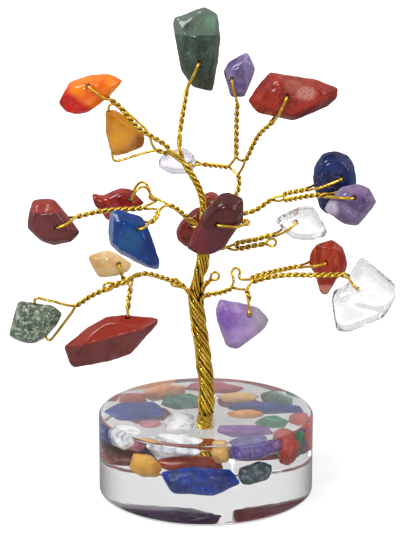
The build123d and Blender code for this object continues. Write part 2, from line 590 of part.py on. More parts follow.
# ---------------------------------------------------------------- stones cast in the resin
# name: centre (x, y, z), half sizes (x, y, z), turn about z in degrees
cast = {
    "cast_lapis_left": ((-13.4, 2.4, 11.7), (5.4, 4.5, 2.7), 0),
    "cast_aventurine_left": ((-4.6, 8.0, 11.9), (3.6, 4.2, 2.5), 0),
    "cast_jasper_left": ((-14.0, 9.7, 11.0), (2.6, 2.6, 3.3), 35),
    "cast_carnelian_back": ((-8.2, 14.4, 10.8), (4.6, 2.4, 3.6), 30),
    "cast_jasper_back": ((1.6, 16.2, 11.7), (5.4, 2.5, 2.7), -5),
    "cast_citrine_back": ((6.2, 10.2, 12.0), (4.2, 3.0, 2.4), 0),
    "cast_moss_agate_back": ((13.5, 10.1, 10.8), (3.6, 2.4, 3.6), -53),
    "cast_lapis_right": ((11.2, 4.7, 11.0), (6.8, 1.8, 3.4), -6),
    "cast_carnelian_right": ((7.5, 0.6, 12.1), (3.3, 1.7, 2.2), 0),
    "cast_aventurine_right": ((12.2, -3.3, 11.2), (3.0, 2.1, 3.2), 0),
    "cast_jasper_right": ((17.3, -1.8, 11.6), (1.9, 3.0, 2.8), -6),
    "cast_jasper_rim": ((14.2, -10.0, 11.2), (2.7, 2.1, 3.2), 55),
    "cast_amethyst_front": ((7.0, -8.6, 12.2), (5.0, 2.5, 2.2), 0),
    "cast_amethyst_rim": ((7.6, -14.5, 12.9), (3.7, 2.0, 1.6), 28),
    "cast_moss_agate_front": ((8.3, -14.5, 8.7), (3.8, 2.1, 2.3), 29),
    "cast_citrine_rim": ((2.4, -15.3, 12.5), (1.8, 1.5, 1.7), 10),
    "cast_lapis_front": ((-1.1, -16.9, 8.0), (6.4, 1.8, 2.6), 0),
    "cast_jasper_front": ((-2.6, -13.1, 10.2), (5.0, 1.8, 1.7), 0),
    "cast_quartz_rim": ((-5.0, -13.8, 13.3), (4.5, 2.3, 1.2), -18),
    "cast_citrine_front": ((-10.3, -13.4, 9.6), (3.6, 2.1, 2.4), -38),
    "cast_quartz_front": ((-14.4, -9.0, 13.0), (3.4, 2.3, 1.6), -58),
    "cast_rose_quartz": ((-10.3, -4.7, 12.0), (2.3, 2.0, 2.3), 0),
    "cast_quartz_middle": ((-5.0, -4.0, 11.6), (2.6, 4.5, 2.8), 0),
    "cast_carnelian_left": ((-11.0, 4.2, 6.6), (4.8, 3.4, 1.9), 15),
    "cast_amethyst_back": ((-3.2, 11.8, 6.6), (4.4, 3.6, 1.9), 0),
    "cast_jasper_middle": ((6.4, 11.6, 6.4), (4.4, 3.4, 1.9), -20),
}


cast_corners = 13
golden_angle = 2.39996  # radians, spreads the corner points evenly


def cast_stone(name, centre, half, degrees, seed):
    """A blocky chip: corner points spread on a rounded box of the half sizes."""
    points = []
    for k in range(cast_corners):
        z = 1 - 2 * (k + 0.5) / cast_corners
        around = k * golden_angle + seed * 1.7
        flat = math.sqrt(1 - z * z)
        spot = (flat * math.cos(around), flat * math.sin(around), z)
        boxy = sum(abs(c) ** 3 for c in spot) ** (-1 / 3)
        reach = boxy * (0.93 + 0.07 * math.sin(3.1 * k + seed))
        points.append(tuple((h - rounding) * reach * c for h, c in zip(half, spot)))
    stone = lump(points).moved(Location(centre, (0, 0, degrees)))
    stone.label = name
    return stone


# ---------------------------------------------------------------- export
rough_routes = [lay(spec) for spec in wires.values()]
routes = relax([path for path, mask in rough_routes], [mask for path, mask in rough_routes])
for name, route in zip(wires, routes):
    with BuildPart() as wire:
        with BuildLine() as centre_line:
            add(wire_edges(route))
        with BuildSketch(Plane(origin=centre_line.line @ 0, z_dir=centre_line.line % 0)):
            Circle(wire_radius)
        sweep(path=centre_line.line)
    wire.part.label = name
    export_step(wire.part, f"parts/{name}.step")

for name, chip in chips.items():
    export_step(make_chip(name, chip), f"parts/{name}.step")

cast_parts = [cast_stone(name, *place, seed) for seed, (name, place) in enumerate(cast.items())]
for stone in cast_parts:
    export_step(stone, f"parts/{stone.label}.step")

with BuildPart() as resin_base:
    Cylinder(base_radius, base_height, align=(Align.CENTER, Align.CENTER, Align.MIN))
    fillet(resin_base.edges().filter_by(GeomType.CIRCLE), base_edge)
    with Locations((trunk_line[0][0], trunk_line[0][1], root_height)):
        Cylinder(socket_radius, base_height, align=(Align.CENTER, Align.CENTER, Align.MIN),
                 mode=Mode.SUBTRACT)
    for stone in cast_parts:
        add(stone, mode=Mode.SUBTRACT)
resin_base.part.label = "resin_base"
export_step(resin_base.part, "parts/resin_base.step")
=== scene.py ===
import json
import math
import bpy
import numpy as np
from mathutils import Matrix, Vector, noise


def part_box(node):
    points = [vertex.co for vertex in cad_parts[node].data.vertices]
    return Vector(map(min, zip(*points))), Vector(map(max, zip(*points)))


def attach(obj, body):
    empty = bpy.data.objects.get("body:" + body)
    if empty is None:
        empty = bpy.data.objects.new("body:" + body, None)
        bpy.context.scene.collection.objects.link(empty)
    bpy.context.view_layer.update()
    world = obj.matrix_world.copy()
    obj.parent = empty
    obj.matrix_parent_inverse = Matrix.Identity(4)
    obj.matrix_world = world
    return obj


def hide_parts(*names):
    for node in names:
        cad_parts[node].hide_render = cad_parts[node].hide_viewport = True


# Gemstone tree ornament: tumbled chips on twisted brass wire over a clear resin puck.
# Metres, +Z up, -Y towards the front. Texture coordinates are in millimetres.

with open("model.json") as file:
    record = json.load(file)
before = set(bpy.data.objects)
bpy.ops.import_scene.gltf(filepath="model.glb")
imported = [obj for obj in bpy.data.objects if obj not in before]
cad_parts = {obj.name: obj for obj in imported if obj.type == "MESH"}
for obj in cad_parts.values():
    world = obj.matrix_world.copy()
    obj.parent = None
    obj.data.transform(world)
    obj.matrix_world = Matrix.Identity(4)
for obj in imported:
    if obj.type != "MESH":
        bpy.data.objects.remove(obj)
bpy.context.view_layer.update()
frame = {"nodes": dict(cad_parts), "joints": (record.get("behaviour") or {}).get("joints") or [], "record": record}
nodes = frame["nodes"]
body_of = {n: b for b, members in frame["record"]["behaviour"]["bodies"].items() for n in members}
hinges = {j["child"]: j for j in frame["joints"]}
scene = bpy.context.scene


# ---------------------------------------------------------------- camera, lamps and stage
camera = bpy.data.objects.new("camera", bpy.data.cameras.new("camera"))
scene.collection.objects.link(camera)
camera.location = (-0.0011, -0.35864, 0.14060)
camera.rotation_euler = (math.radians(74.768), 0, 0)
camera.data.lens = 137.06
camera.data.sensor_width = 36
camera.data.clip_start, camera.data.clip_end = 0.01, 20
scene.camera = camera
scene.view_settings.view_transform = "Standard"


def lamp(name, place, target, size, watts, seen=True):
    data = bpy.data.lights.new(name, "AREA")
    data.shape, data.size, data.energy = "DISK", size, watts
    obj = bpy.data.objects.new(name, data)
    scene.collection.objects.link(obj)
    obj.location = place
    obj.rotation_euler = (Vector(target) - Vector(place)).to_track_quat("-Z", "Y").to_euler()
    obj.visible_transmission = obj.visible_glossy = seen


lamp("key", (-0.30, -0.28, 0.50), (0, 0, 0.05), 0.30, 1.9)
lamp("fill", (0.42, -0.30, 0.30), (0, 0, 0.05), 0.40, 0.7)
lamp("rim", (0.10, 0.45, 0.35), (0, 0, 0.05), 0.40, 0.7, seen=False)
lamp("glint", (-0.05, -0.41, 0.145), (0, 0, 0.05), 0.05, 0.14)


# ---------------------------------------------------------------- shader helpers
class Shade:
    """A node tree with object coordinates in millimetres and a few short-hands."""

    def __init__(self, name):
        self.material = bpy.data.materials.new(name)
        self.material.use_nodes = True
        self.tree = self.material.node_tree
        self.tree.nodes.clear()
        self.surface = self.tree.nodes.new("ShaderNodeOutputMaterial").inputs["Surface"]
        place = self.tree.nodes.new("ShaderNodeTexCoord").outputs["Object"]
        self.mm = self.maths("SCALE", place, scale=1000.0)

    def link(self, source, socket):
        """Wire an output to a socket."""
        self.tree.links.new(source, socket)

    def put(self, socket, value):
        """Link a socket to an output, or set it to a plain value."""
        if isinstance(value, bpy.types.NodeSocket):
            self.link(value, socket)
        elif isinstance(value, (tuple, list)) and len(value) == 3 and socket.type == "RGBA":
            socket.default_value = (*value, 1)
        else:
            socket.default_value = value

    def node(self, kind, **sockets):
        """A new node with its named sockets set or linked; an underscore stands for a space."""
        made = self.tree.nodes.new(kind)
        for name, value in sockets.items():
            self.put(made.inputs[name.replace("_", " ")], value)
        return made

    def maths(self, operation, a, b=None, scale=None):
        """A vector operation."""
        made = self.tree.nodes.new("ShaderNodeVectorMath")
        made.operation = operation
        self.put(made.inputs[0], a)
        if b is not None:
            self.put(made.inputs[1], b)
        if scale is not None:
            self.put(made.inputs["Scale"], scale)
        return made.outputs["Value" if operation in ("LENGTH", "DISTANCE", "DOT_PRODUCT") else "Vector"]

    def math(self, operation, a, b=0.0, c=0.0):
        """A scalar operation."""
        made = self.tree.nodes.new("ShaderNodeMath")
        made.operation = operation
        for socket, value in zip(made.inputs, (a, b, c)):
            self.put(socket, value)
        return made.outputs[0]

    def lerp(self, share, a, b):
        """a where share is 0, b where it is 1."""
        made = self.tree.nodes.new("ShaderNodeMix")
        for socket, value in zip(made.inputs[:1] + made.inputs[2:4], (share, a, b)):
            self.put(socket, value)
        return made.outputs[0]

    def noise(self, size, detail=4.0, rough=0.55, warp=0.0, stretch=None, shift=0.0):
        """Noise whose features are about size millimetres across."""
        where = self.mm
        if stretch:
            where = self.maths("MULTIPLY", where, stretch)
        if shift:
            where = self.maths("ADD", where, (shift, shift * 0.7, -shift))
        made = self.node("ShaderNodeTexNoise", Vector=where, Scale=1.0 / size, Detail=detail,
                         Roughness=rough, Distortion=warp)
        return made.outputs["Fac"]

    def cells(self, size, shift=0.0, warp=0.0):
        """Distance to the middle of the nearest cell; the cells are about size millimetres across."""
        where = self.mm
        if shift:
            where = self.maths("ADD", where, (shift, shift * 0.7, -shift))
        if warp:
            bent = self.node("ShaderNodeTexNoise", Vector=where, Scale=0.8 / size, Detail=2.0)
            off = self.maths("SUBTRACT", bent.outputs["Color"], (0.5, 0.5, 0.5))
            where = self.maths("ADD", where, self.maths("SCALE", off, scale=warp))
        return self.node("ShaderNodeTexVoronoi", Vector=where, Scale=1.0 / size).outputs["Distance"]

    def band(self, value, low, high, invert=False):
        """0 below low, 1 above high, smooth between."""
        first, last = (1.0, 0.0) if invert else (0.0, 1.0)
        made = self.node("ShaderNodeMapRange", Value=value, From_Min=low, From_Max=high, To_Min=first,
                         To_Max=last)
        made.interpolation_type = "SMOOTHSTEP"
        return made.outputs["Result"]

    def vein(self, size, width, **more):
        """Thin lines where a noise crosses its middle value."""
        gap = self.math("ABSOLUTE", self.math("SUBTRACT", self.noise(size, **more), 0.5))
        return self.band(gap, 0.0, width, invert=True)

    def near(self, place, reach, soft, squeeze=(1, 1, 1), ragged=0.0):
        """1 within reach millimetres of a place, fading over soft; ragged roughens its border."""
        off = self.maths("MULTIPLY", self.maths("SUBTRACT", self.mm, place), squeeze)
        far = self.maths("LENGTH", off)
        if ragged:
            far = self.math("ADD", far, self.math("MULTIPLY", self.math(
                "SUBTRACT", self.noise(reach * 0.5), 0.5), ragged))
        return self.band(far, reach, reach + soft, invert=True)

    def side(self, normal, at, soft, ragged=0.0, size=1.5):
        """1 on the side of a plane that its normal points to, at the distance at."""
        far = self.maths("DOT_PRODUCT", self.mm, normal)
        if ragged:
            far = self.math("ADD", far, self.math("MULTIPLY", self.math(
                "SUBTRACT", self.noise(size), 0.5), ragged))
        return self.band(far, at - soft / 2, at + soft / 2)

    def rise(self, share, low, high):
        """A number that goes from low to high as share goes from 0 to 1."""
        return self.math("ADD", self.math("MULTIPLY", share, high - low), low)

    def mix(self, share, a, b):
        """Colour a where share is 0, b where it is 1."""
        made = self.tree.nodes.new("ShaderNodeMix")
        made.data_type = "RGBA"
        self.put(made.inputs[0], share)
        self.put(made.inputs[6], a)
        self.put(made.inputs[7], b)
        return made.outputs[2]

    def over(self, colour, tone, mask, share):
        """The colour with up to a share of tone laid over it where the mask is 1."""
        return self.mix(self.math("MULTIPLY", mask, share), colour, tone)

    def zoned(self, colour, zones):
        """The colour with each zone over it: (mask maker, tone, share)."""
        for mask, tone, share in zones:
            colour = self.over(colour, tone, mask(self), share)
        return colour

    def ramp(self, value, *stops):
        """A colour ramp through (place, colour) stops."""
        made = self.tree.nodes.new("ShaderNodeValToRGB")
        while len(made.color_ramp.elements) < len(stops):
            made.color_ramp.elements.new(0.5)
        for element, (place, colour) in zip(made.color_ramp.elements, stops):
            element.position, element.color = place, (*colour, 1)
        self.put(made.inputs["Fac"], value)
        return made.outputs["Color"]

    def bump(self, height, strength, distance_mm):
        """A normal raised and lowered by a height map."""
        made = self.node("ShaderNodeBump", Height=height, Strength=strength,
                         Distance=distance_mm / 1000)
        return made.outputs["Normal"]

    def principled(self, **sockets):
        return self.node("ShaderNodeBsdfPrincipled", **sockets).outputs["BSDF"]

    def blend(self, share, a, b):
        """Shader a where share is 0, b where it is 1."""
        made = self.tree.nodes.new("ShaderNodeMixShader")
        self.put(made.inputs["Fac"], share)
        self.link(a, made.inputs[1])
        self.link(b, made.inputs[2])
        return made.outputs[0]

    def finish(self, shader):
        """Wire the shader to the surface and give the material."""
        self.link(shader, self.surface)
        return self.material


def rgb(text):
    """Scene-linear colour from a six-digit sRGB code."""
    parts = [int(text[i:i + 2], 16) / 255 for i in (0, 2, 4)]
    return tuple(c / 12.92 if c <= 0.04045 else ((c + 0.055) / 1.055) ** 2.4 for c in parts)


# ---------------------------------------------------------------- stage
def white_floor():
    """A white sweep: its glow keeps it white to the edges, and its matt part takes the shadow."""
    clearance = 0.00012                       # metres below the puck's foot
    mirrored = 0.15                           # share of the glow that glossy surfaces see
    glow_near, glow_far = 0.46, 1.06
    bpy.ops.mesh.primitive_plane_add(size=8, location=(0, 0, -clearance))
    floor = bpy.context.object
    floor.name = "floor"
    s = Shade("stage_white")
    rays = s.tree.nodes.new("ShaderNodeLightPath").outputs
    seen = s.math("MAXIMUM", rays["Is Camera Ray"], rays["Is Transmission Ray"])
    seen = s.math("MAXIMUM", seen, s.math("MULTIPLY", rays["Is Glossy Ray"], mirrored))
    paper = s.mix(rays["Is Glossy Ray"], (0.62, 0.62, 0.63), (0.30, 0.30, 0.30))
    away = s.band(s.maths("LENGTH", s.mm), 60.0, 260.0)
    glow = s.rise(away, glow_near, glow_far)
    matt = s.node("ShaderNodeBsdfDiffuse", Color=paper).outputs["BSDF"]
    shine = s.node("ShaderNodeEmission", Color=(1, 1, 1), Strength=s.math("MULTIPLY", seen, glow))
    both = s.tree.nodes.new("ShaderNodeAddShader")
    s.link(matt, both.inputs[0])
    s.link(shine.outputs["Emission"], both.inputs[1])
    floor.data.materials.append(s.finish(both.outputs[0]))


class WorldShade(Shade):
    """The same short-hands on the world's node tree."""

    def __init__(self, world):
        self.tree = world.node_tree
        self.tree.nodes.clear()
        self.surface = self.tree.nodes.new("ShaderNodeOutputWorld").inputs["Surface"]
        self.mm = self.tree.nodes.new("ShaderNodeTexCoord").outputs["Generated"]

    def finish_world(self, strength):
        back = self.node("ShaderNodeBackground", Color=(1, 1, 1), Strength=strength)
        self.link(back.outputs["Background"], self.surface)


def studio_world():
    """White to the eye; for light and reflections bright above and behind, dim on the front side."""
    world = bpy.data.worlds.new("studio")
    scene.world = world
    world.use_nodes = True
    s = WorldShade(world)
    rays = s.tree.nodes.new("ShaderNodeLightPath").outputs
    behind = s.side((0.0, 0.8, 0.6), 0.0, 1.1)
    light = s.rise(behind, 0.304, 0.664)
    gloss = s.rise(behind, 0.208, 0.8)
    through = s.rise(s.side((0.0, 1.0, 0.0), 0.48, 0.6), 0.36, 0.8)
    level = light
    white = 1.0
    for kind, value in (("Is Glossy Ray", gloss), ("Is Transmission Ray", through),
                        ("Is Camera Ray", white)):
        level = s.lerp(rays[kind], level, value)
    s.finish_world(level)


white_floor()
studio_world()


# ---------------------------------------------------------------- brass wire
def brass():
    """Bright yellow brass with drawing lines, and painted shade: dark brown laid into the gaps between strands."""
    s = Shade("brass_wire")
    gap_reach = 0.0009                        # metres
    # painted shade: an ambient occlusion mask darkens the colour in the gaps between the strands
    cover = s.node("ShaderNodeAmbientOcclusion", Distance=gap_reach)
    cover.samples = 8
    gap_shade = s.band(cover.outputs["AO"], 0.30, 0.92, invert=True)
    tone = s.mix(s.band(s.noise(1.6, detail=3.0), 0.35, 0.7), rgb("FFDC55"), rgb("EEB430"))
    tone = s.mix(s.band(s.noise(0.35, detail=2.0), 0.56, 0.72), tone, rgb("A8701A"))
    tone = s.mix(gap_shade, tone, rgb("2E1A06"))
    rough = s.band(s.noise(0.5, detail=3.0), 0.2, 0.8)
    rough = s.rise(rough, 0.16, 0.28)
    lines = s.noise(0.12, detail=2.0, stretch=(1, 1, 0.35))
    return s.finish(s.principled(Base_Color=tone, Metallic=0.95, Roughness=rough,
                                 Normal=s.bump(lines, 0.25, 0.03)))


brass_material = brass()
for name, obj in nodes.items():
    if name.startswith("wire_"):
        obj.data.materials.clear()
        obj.data.materials.append(brass_material)


# ---------------------------------------------------------------- stones
def vectors_of(mesh, what):
    """The position ("co") or normal of every vertex."""
    values = np.empty(len(mesh.vertices) * 3)
    mesh.vertices.foreach_get(what, values)
    return values.reshape(-1, 3)


def smooth(co, edges, weight, rounds):
    """Move every point half way to the mean of its neighbours, times its weight, in each round."""
    count = np.maximum(np.bincount(edges.ravel(), minlength=len(co)), 1)[:, None]
    for _ in range(rounds):
        total = np.zeros_like(co)
        for axis in range(3):
            total[:, axis] = (np.bincount(edges[:, 0], co[edges[:, 1], axis], len(co))
                              + np.bincount(edges[:, 1], co[edges[:, 0], axis], len(co)))
        co = co + 0.5 * weight[:, None] * (total / count - co)
    return co


wall_left = 0.0003                            # metres of clear resin kept outside a cast stone
resin_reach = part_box("resin_base")[1].x - wall_left
held, eased = 0.42, 0.35                      # mm from a hole's axis: kept as drilled, then ever freer


def cut_back(co, centre, cuts):
    """Lay every point beyond a cutting plane back onto it: (point, normal) about the centre, in mm."""
    for point, normal in cuts:
        normal = np.array(normal, float)
        normal /= np.linalg.norm(normal)
        beyond = (co - (centre + np.array(point, float)) / 1000) @ normal
        co = co - np.outer(np.maximum(beyond, 0), normal)
    return co


def stone(node, material, slot, cuts=(), voxel=0.20, rounds=16, after=7, dents=0.12,
          dent_size=2.6, seed=0.0, swell=1.0):
    """A tumbled stone from the node's solid: finer mesh, ground facets, worn edges, shallow dents.

    voxel, dents and dent_size are in mm; rounds and after count the smoothing before and after the
    cuts; swell scales a stone that is cast in the resin.
    """
    source = nodes[node]
    obj = bpy.data.objects.new(node + "_stone", source.data.copy())
    scene.collection.objects.link(obj)
    merge = obj.modifiers.new("merge", "WELD")
    merge.merge_threshold = 1e-7
    modifier = obj.modifiers.new("remesh", "REMESH")
    modifier.mode, modifier.voxel_size = "VOXEL", voxel / 1000
    mesh = bpy.data.meshes.new_from_object(obj.evaluated_get(bpy.context.evaluated_depsgraph_get()))
    obj.modifiers.clear()
    obj.data = mesh
    mesh.name = obj.name
    co = vectors_of(mesh, "co")
    edges = np.empty(len(mesh.edges) * 2, int)
    mesh.edges.foreach_get("vertices", edges)
    edges = edges.reshape(-1, 2)
    free = np.ones(len(co))
    co = co.mean(0) + (co - co.mean(0)) * swell
    if node in hinges:
        axis = np.array(hinges[node]["axis"], float)
        axis /= np.linalg.norm(axis)
        off = co - np.array(hinges[node]["pos_m"], float)
        off -= np.outer(off @ axis, axis)
        free = np.clip((np.linalg.norm(off, axis=1) * 1000 - held) / eased, 0, 1)
        co = smooth(co, edges, free, rounds)
        co = cut_back(co, np.array(hub(node)), cuts)
    co = smooth(co, edges, np.maximum(free, 0.12), after)
    mesh.vertices.foreach_set("co", co.ravel())
    mesh.update()
    normals = vectors_of(mesh, "normal")
    depth = np.array([noise.fractal(Vector(p * 1000 / dent_size) + Vector((seed, -seed, seed)),
                                    1.0, 2.0, 3) for p in co])
    depth = np.clip(0.5 + 0.8 * depth, 0, 1) * dents / 1000 * free
    co = co - normals * depth[:, None]
    low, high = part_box(node)
    grown = (np.array(high) - np.array(low)) * (swell - 1) / 2
    co = np.clip(co, np.array(low) - grown, np.array(high) + grown)
    if node not in hinges:
        across = np.linalg.norm(co[:, :2], axis=1)
        co[:, :2] *= np.minimum(1, resin_reach / across)[:, None]
    mesh.vertices.foreach_set("co", co.ravel())
    mesh.polygons.foreach_set("use_smooth", [True] * len(mesh.polygons))
    mesh.materials.clear()
    mesh.materials.append(material)
    mesh.update()
    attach(obj, body_of[node])
    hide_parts(node)


def hub(node):
    """The centre of a chip's drilled hole, in millimetres."""
    return Vector(hinges[node]["pos_m"]) * 1000


def polished(s, colour, rough=0.16, glow=0.0, depth=0.6, tint=(1.0, 0.5, 0.3), bump=None, coat=0.0):
    """Polished stone: a plain gloss, with light going a little way in where it glows."""
    extra = dict(Normal=bump) if bump is not None else {}
    if glow:
        extra.update(Subsurface_Weight=glow, Subsurface_Radius=tint, Subsurface_Scale=depth / 1000)
    return s.finish(s.principled(Base_Color=colour, Roughness=rough, IOR=1.5, Coat_Weight=coat,
                                 Coat_Roughness=0.05, **extra))


def jasper(name, dark, mid, light, shift=0.0, zones=(), grain=0.2, grain_tone="C06A5C"):
    """Brick red to maroon, softly mottled and speckled; zones are (mask maker, colour, share)."""
    s = Shade(name)
    colour = s.mix(s.band(s.noise(3.6, shift=shift), 0.36, 0.64), dark, mid)
    colour = s.over(colour, light, s.band(s.noise(1.3, shift=shift + 3), 0.50, 0.75), 0.6)
    colour = s.zoned(colour, zones)
    grains = s.band(s.noise(0.32, detail=3.0, shift=shift), 0.56, 0.70)
    colour = s.over(colour, rgb(grain_tone), grains, grain)
    colour = s.over(colour, dark, s.band(s.noise(0.5, detail=4.0, shift=shift + 8), 0.60, 0.74), 0.55)
    colour = s.over(colour, rgb("2A0C10"), s.vein(5.5, 0.010, shift=shift + 7, warp=0.5), 0.5)
    rough = s.rise(s.noise(0.7), 0.10, 0.24)
    return polished(s, colour, rough, glow=0.04, depth=0.4, tint=(1.0, 0.25, 0.2),
                    bump=s.bump(s.noise(0.7, detail=4.0), 0.18, 0.08))


def carnelian(name, light, deep, shift=0.0, zones=(), streak=0.25, stretch=None, streak_tone="F2A070"):
    """Translucent orange to red with soft cloudy bands; stretch draws the bands out along an axis."""
    s = Shade(name)
    bands = s.noise(2.2, detail=3.0, shift=shift, warp=0.3, stretch=stretch)
    colour = s.mix(s.band(bands, 0.36, 0.64), light, deep)
    colour = s.zoned(colour, zones)
    wisps = s.band(s.noise(1.8, detail=4.0, shift=shift + 5, stretch=stretch, warp=0.5), 0.56, 0.74)
    colour = s.over(colour, rgb(streak_tone), wisps, streak)
    colour = s.over(colour, deep, s.band(s.noise(0.7, shift=shift), 0.56, 0.72), 0.4)
    return polished(s, colour, 0.11, glow=0.30, depth=0.9, tint=(1.0, 0.25, 0.06),
                    bump=s.bump(s.noise(1.0, detail=3.0), 0.25, 0.12), coat=0.12)


def amethyst(name, pale, violet, zones=(), shift=0.0, cracks=0.35):
    """Milky lilac with violet zones, smoky wisps and a few healed cracks."""
    s = Shade(name)
    colour = s.mix(s.band(s.noise(2.8, detail=3.0, shift=shift, warp=0.4), 0.36, 0.64), pale, violet)
    colour = s.zoned(colour, zones)
    smoke = s.band(s.noise(1.2, detail=4.0, shift=shift + 2, stretch=(1, 1, 0.5)), 0.54, 0.72)
    colour = s.over(colour, violet, smoke, 0.45)
    colour = s.over(colour, rgb("DDD2E6"), s.vein(3.4, 0.010, shift=shift + 4, warp=0.8), cracks)
    colour = s.over(colour, pale, s.band(s.noise(0.6, shift=shift), 0.60, 0.74), 0.25)
    return polished(s, colour, 0.09, glow=0.35, depth=1.2, tint=(0.8, 0.55, 1.0),
                    bump=s.bump(s.noise(1.1, detail=3.0), 0.22, 0.12), coat=0.15)


def lapis(name, blue, dark, flecks, zones=(), shift=0.0, fleck_size=0.5, fleck_tone="8FA3D0"):
    """Deep blue with darker clouds, pale flecks and a few golden grains."""
    s = Shade(name)
    colour = s.mix(s.band(s.noise(2.6, shift=shift, warp=0.5), 0.35, 0.65), blue, dark)
    colour = s.zoned(colour, zones)
    dots = s.band(s.noise(fleck_size, detail=5.0, shift=shift + 2), 0.575, 0.70)
    colour = s.over(colour, rgb(fleck_tone), dots, flecks)
    grains = s.band(s.cells(1.3, shift=shift), 0.03, 0.08, invert=True)
    colour = s.over(colour, rgb("B89A50"), grains, 0.5)
    return polished(s, colour, 0.13, glow=0.03, depth=0.4, tint=(0.2, 0.3, 1.0),
                    bump=s.bump(s.noise(0.9, detail=3.0), 0.18, 0.10))


def citrine(name, light, deep, shift=0.0, zones=(), cloud=0.2, pits=0.4):
    """Waxy honey to peach, softly cloudy, with fine rusty specks."""
    s = Shade(name)
    colour = s.mix(s.band(s.noise(3.4, detail=2.0, shift=shift), 0.34, 0.66), light, deep)
    colour = s.zoned(colour, zones)
    pale = s.band(s.noise(1.4, detail=4.0, shift=shift + 6), 0.54, 0.74)
    colour = s.over(colour, rgb("F4E2BE"), pale, cloud)
    specks = s.band(s.noise(0.5, detail=2.0, shift=shift), 0.66, 0.76)
    colour = s.over(colour, rgb("8A4A18"), specks, pits)
    return polished(s, colour, 0.15, glow=0.30, depth=1.2, tint=(1.0, 0.6, 0.3),
                    bump=s.bump(s.noise(1.0, detail=3.0), 0.15, 0.10), coat=0.08)


def aventurine(name, mid, dark, light, shift=0.0, zones=(), specks=0.3):
    """Dark sage green, slightly see-through, with mossy clouds drawn out lengthways."""
    s = Shade(name)
    colour = s.mix(s.band(s.noise(2.4, shift=shift, stretch=(1, 1, 0.4)), 0.36, 0.64), mid, dark)
    colour = s.zoned(colour, zones)
    colour = s.over(colour, light, s.band(s.noise(0.8, detail=4.0, shift=shift), 0.56, 0.72), specks)
    colour = s.over(colour, rgb("A9B8A4"), s.vein(3.2, 0.010, shift=shift + 2, warp=0.8), 0.3)
    return polished(s, colour, 0.11, glow=0.15, depth=0.9, tint=(0.5, 1.0, 0.6),
                    bump=s.bump(s.noise(1.0, detail=3.0), 0.2, 0.12), coat=0.12)


def moss(name, shift=0.0, ground=("4A584C", "66745F"), fleck="B4BEA8"):
    """Grey green ground crowded with pale and dark speckles."""
    s = Shade(name)
    colour = s.mix(s.band(s.noise(1.6, shift=shift), 0.38, 0.62), rgb(ground[0]), rgb(ground[1]))
    colour = s.mix(s.band(s.noise(0.9, detail=6.0, rough=0.72, shift=shift + 3), 0.49, 0.60), colour,
                   rgb(fleck))
    colour = s.mix(s.band(s.noise(0.6, detail=6.0, rough=0.7, shift=shift + 9), 0.55, 0.65), colour,
                   rgb("222B26"))
    return polished(s, colour, 0.15, glow=0.03, depth=0.4, tint=(0.6, 1.0, 0.7),
                    bump=s.bump(s.noise(0.5, detail=5.0), 0.3, 0.12), coat=0.1)


def quartz(name, cloud=0.2, tone="FFFFFF", shift=0.0, grain=0.06, cracks=0.3, rough=0.03):
    """Clear rock crystal: glassy, with soft milky clouds and a few inner cracks."""
    s = Shade(name)
    milky = s.band(s.noise(2.6, detail=3.0, shift=shift, warp=0.5), 0.40, 0.70)
    lines = s.vein(3.2, 0.010, shift=shift + 5, warp=1.0)
    colour = s.over(rgb(tone), rgb("A4A8B2"), lines, cracks)
    normal = s.bump(s.noise(1.6, detail=3.0, shift=shift), grain, 0.25)
    glass = s.principled(Base_Color=colour, Roughness=rough, IOR=1.54, Transmission_Weight=1.0,
                         Normal=normal)
    milk = s.principled(Base_Color=s.mix(0.5, rgb("F6F6FA"), colour), Roughness=0.10, IOR=1.5,
                        Subsurface_Weight=0.6, Subsurface_Radius=(1.0, 1.0, 1.0), Subsurface_Scale=0.0015,
                        Normal=normal)
    share = s.math("ADD", s.math("MULTIPLY", milky, cloud), s.math("MULTIPLY", lines, cracks * 0.3))
    rays = s.tree.nodes.new("ShaderNodeLightPath").outputs["Is Shadow Ray"]
    clear = s.node("ShaderNodeBsdfTransparent", Color=(0.90, 0.905, 0.91)).outputs["BSDF"]
    return s.finish(s.blend(rays, s.blend(share, glass, milk), clear))


def quartz_crumbly(name, shift=0.0, smoke="A2A4AE"):
    """Milky rock crystal seen through the resin: white with soft grey clouds."""
    s = Shade(name)
    flaws = s.noise(2.4, detail=2.0, shift=shift, rough=0.45, warp=0.3)
    colour = s.ramp(flaws, (0.32, rgb(smoke)), (0.45, rgb("E0E1E6")), (0.58, rgb("FFFFFF")),
                    (0.80, rgb("DED8E2")))
    facets = s.cells(1.5, shift=shift, warp=0.8)
    return polished(s, colour, 0.08, glow=0.3, depth=0.6, tint=(1, 1, 1),
                    bump=s.bump(facets, 0.12, 0.2), coat=0.3)


# Masks about a chip's hole centre, in millimetres, for the zones of its colour; some zones are painted light and
# shade on facets and edges.
def past(node, point, normal, soft=0.5, ragged=0.3, size=1.5):
    """The side of a plane through a point that its normal points to."""
    normal = Vector(normal).normalized()
    at = (hub(node) + Vector(point)).dot(normal)
    return lambda s: s.side(tuple(normal), at, soft, ragged=ragged, size=size)


def spot(node, point, reach, soft, squeeze=(1, 1, 1), ragged=None):
    """A blot about a point."""
    rough = reach if ragged is None else ragged
    return lambda s: s.near(tuple(hub(node) + Vector(point)), reach, soft, squeeze, ragged=rough)


def hanging_jasper(n):
    ridge = (-3.0, -3.35, -2.25)
    return dict(
        cuts=[(ridge, (-0.38, -3.2, 1.40)), (ridge, (0.53, -3.5, -1.93))], after=4,
        material=jasper(n, rgb("70302F"), rgb("7C3836"), rgb("84403A"), 12.0, zones=[
            # painted light: the upper facet, above the ridge, is drawn as lit brick red over the maroon
            (past(n, ridge, (-0.267, 0.0, 0.963), 0.35, 0.15), rgb("9C2C18"), 0.92)], grain=0.05))


